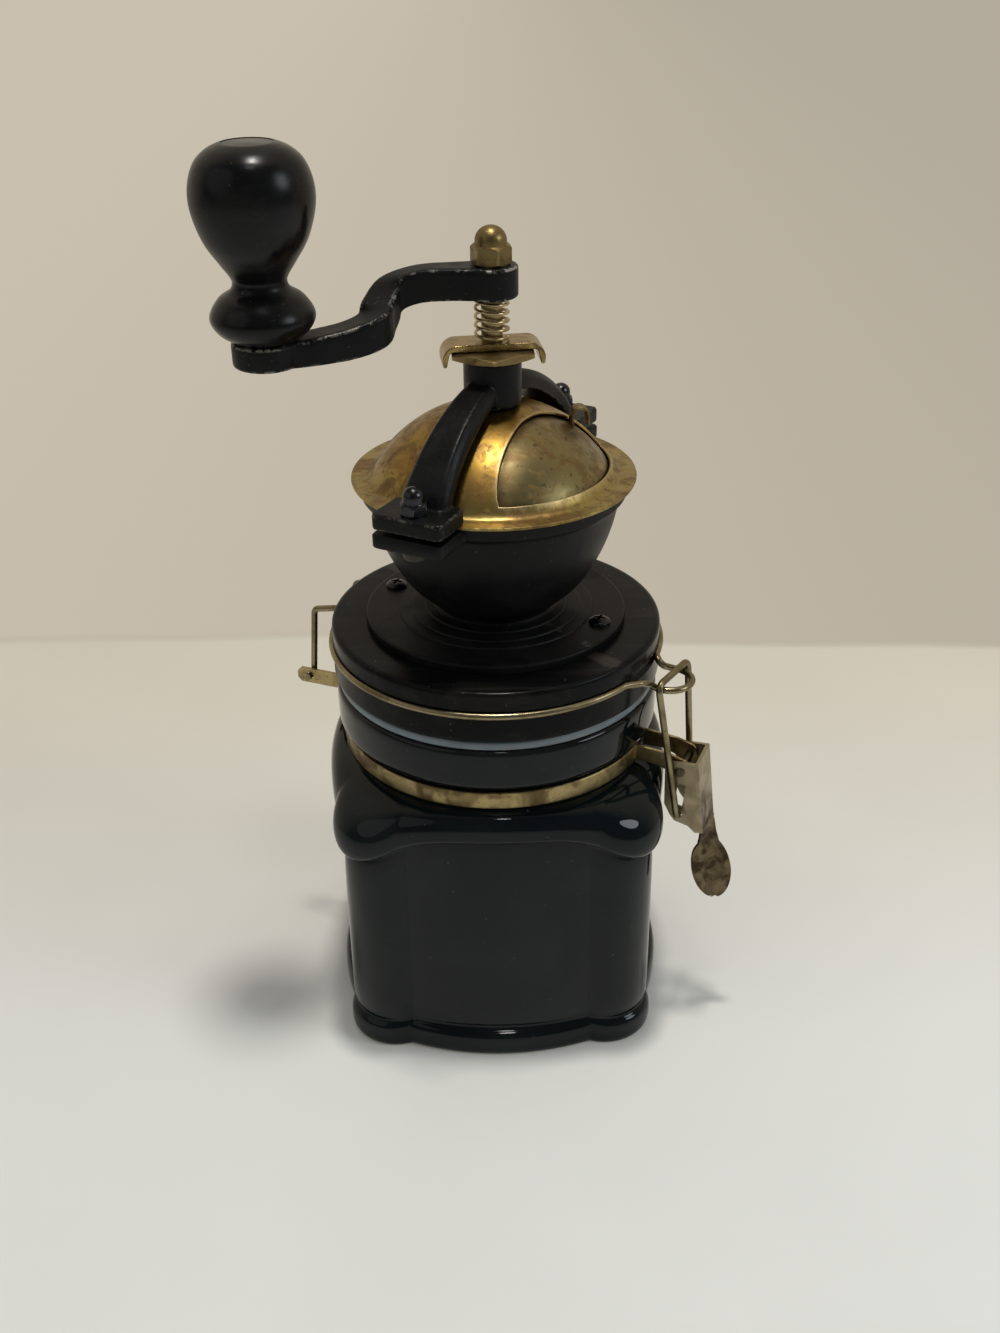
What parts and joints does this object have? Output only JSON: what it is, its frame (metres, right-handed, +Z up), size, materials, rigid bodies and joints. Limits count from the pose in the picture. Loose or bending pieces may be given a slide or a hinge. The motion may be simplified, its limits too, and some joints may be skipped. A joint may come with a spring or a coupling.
{
  "type": "manual coffee grinder",
  "caption": "Hand coffee grinder: iron mill with a domed bean hopper and cranked handle on a wooden lid, clamped by a wire closure to a square glazed jar.",
  "frame": {"origin": "middle of the jar's foot, on the surface it stands on", "axes": "+Z up along the shaft; -Y out of one flat panel of the jar, towards the picture's camera"},
  "size_m": [0.1487, 0.1064, 0.2731],
  "materials": {
    "ceramic_glaze": "thick black gloss glaze, wet-looking",
    "lacquered_wood": "black lacquer with a soft sheen over turned wood",
    "handle_lacquer": "deep black gloss lacquer",
    "black_iron": "black enamelled casting, fine orange-peel surface",
    "brass_sheet": "satin lacquered brass, faintly tarnished",
    "turned_brass": "machined brass, polished edges",
    "zinc_wire": "yellowish passivated steel",
    "steel": "turned steel, lightly oiled",
    "dark_steel": "blackened steel, polished crown",
    "silicone": "translucent pale grey seal"
  },
  "bodies": {
    "jar_base": {"jar": "ceramic_glaze", "neck_band": "brass_sheet", "hinge_bracket": "brass_sheet", "catch_pin": "steel"},
    "lid_assembly": {"lid": "lacquered_wood", "gasket": "silicone", "bail": "zinc_wire", "mill_body": "black_iron", "mill_screw_1": "dark_steel", "mill_screw_2": "dark_steel", "burr_spider": "steel", "ring_burr": "steel", "dome_cover": "brass_sheet", "bridge": "black_iron", "shaft_bush": "turned_brass", "door_washer": "steel", "bridge_bolt_front": "dark_steel", "bridge_nut_front": "dark_steel", "bridge_bolt_rear": "dark_steel", "bridge_nut_rear": "dark_steel"},
    "door_leaf": {"hopper_door": "brass_sheet"},
    "crank": {"shaft": "steel", "cone_burr": "steel", "adjusting_nut": "turned_brass", "lock_spring": "turned_brass", "crank_arm": "black_iron", "crank_nut": "turned_brass", "knob_spindle": "steel"},
    "lock_wings": {"lock_plate": "brass_sheet"},
    "handle_knob": {"knob": "handle_lacquer"},
    "lever": {"catch_lever": "zinc_wire"},
    "link": {"catch_link": "zinc_wire"}
  },
  "joints": [
    {"name": "lid_swing", "type": "hinge", "parent": "jar_base", "child": "lid_assembly", "pos_m": [-0.05454, 0.03408, 0.0971], "axis": [-0.5299, -0.848, 0], "range_deg": [0, 95]},
    {"name": "catch_lever_swing", "type": "hinge", "parent": "jar_base", "child": "lever", "pos_m": [0.05749, -0.02323, 0.0916], "axis": [-0.3746, -0.9272, 0], "range_deg": [0, 80]},
    {"name": "catch_link_swing", "type": "hinge", "parent": "lever", "child": "link", "pos_m": [0.05749, -0.02323, 0.0762], "axis": [-0.3746, -0.9272, 0], "range_deg": [-90, 0]},
    {"name": "crank_spin", "type": "hinge", "parent": "lid_assembly", "child": "crank", "pos_m": [0, 0, 0.22], "axis": [0, 0, 1], "continuous": true},
    {"name": "knob_spin", "type": "hinge", "parent": "crank", "child": "handle_knob", "pos_m": [-0.05951, -0.02037, 0.25], "axis": [0, 0, 1], "continuous": true},
    {"name": "hopper_door_swing", "type": "hinge", "parent": "lid_assembly", "child": "door_leaf", "pos_m": [0, 0, 0.19], "axis": [0, 0, -1], "range_deg": [0, 80]},
    {"name": "lock_plate_lift", "type": "slide", "parent": "crank", "child": "lock_wings", "axis": [0, 0, 1], "range_m": [0, 0.0052], "stiffness_N_per_m": 300, "springref_m": -0.004, "deforming": ["lock_spring"]}
  ],
  "couplings": [
    {"joint": "catch_link_swing", "follows": "catch_lever_swing", "ratio": -1.1}
  ]
}
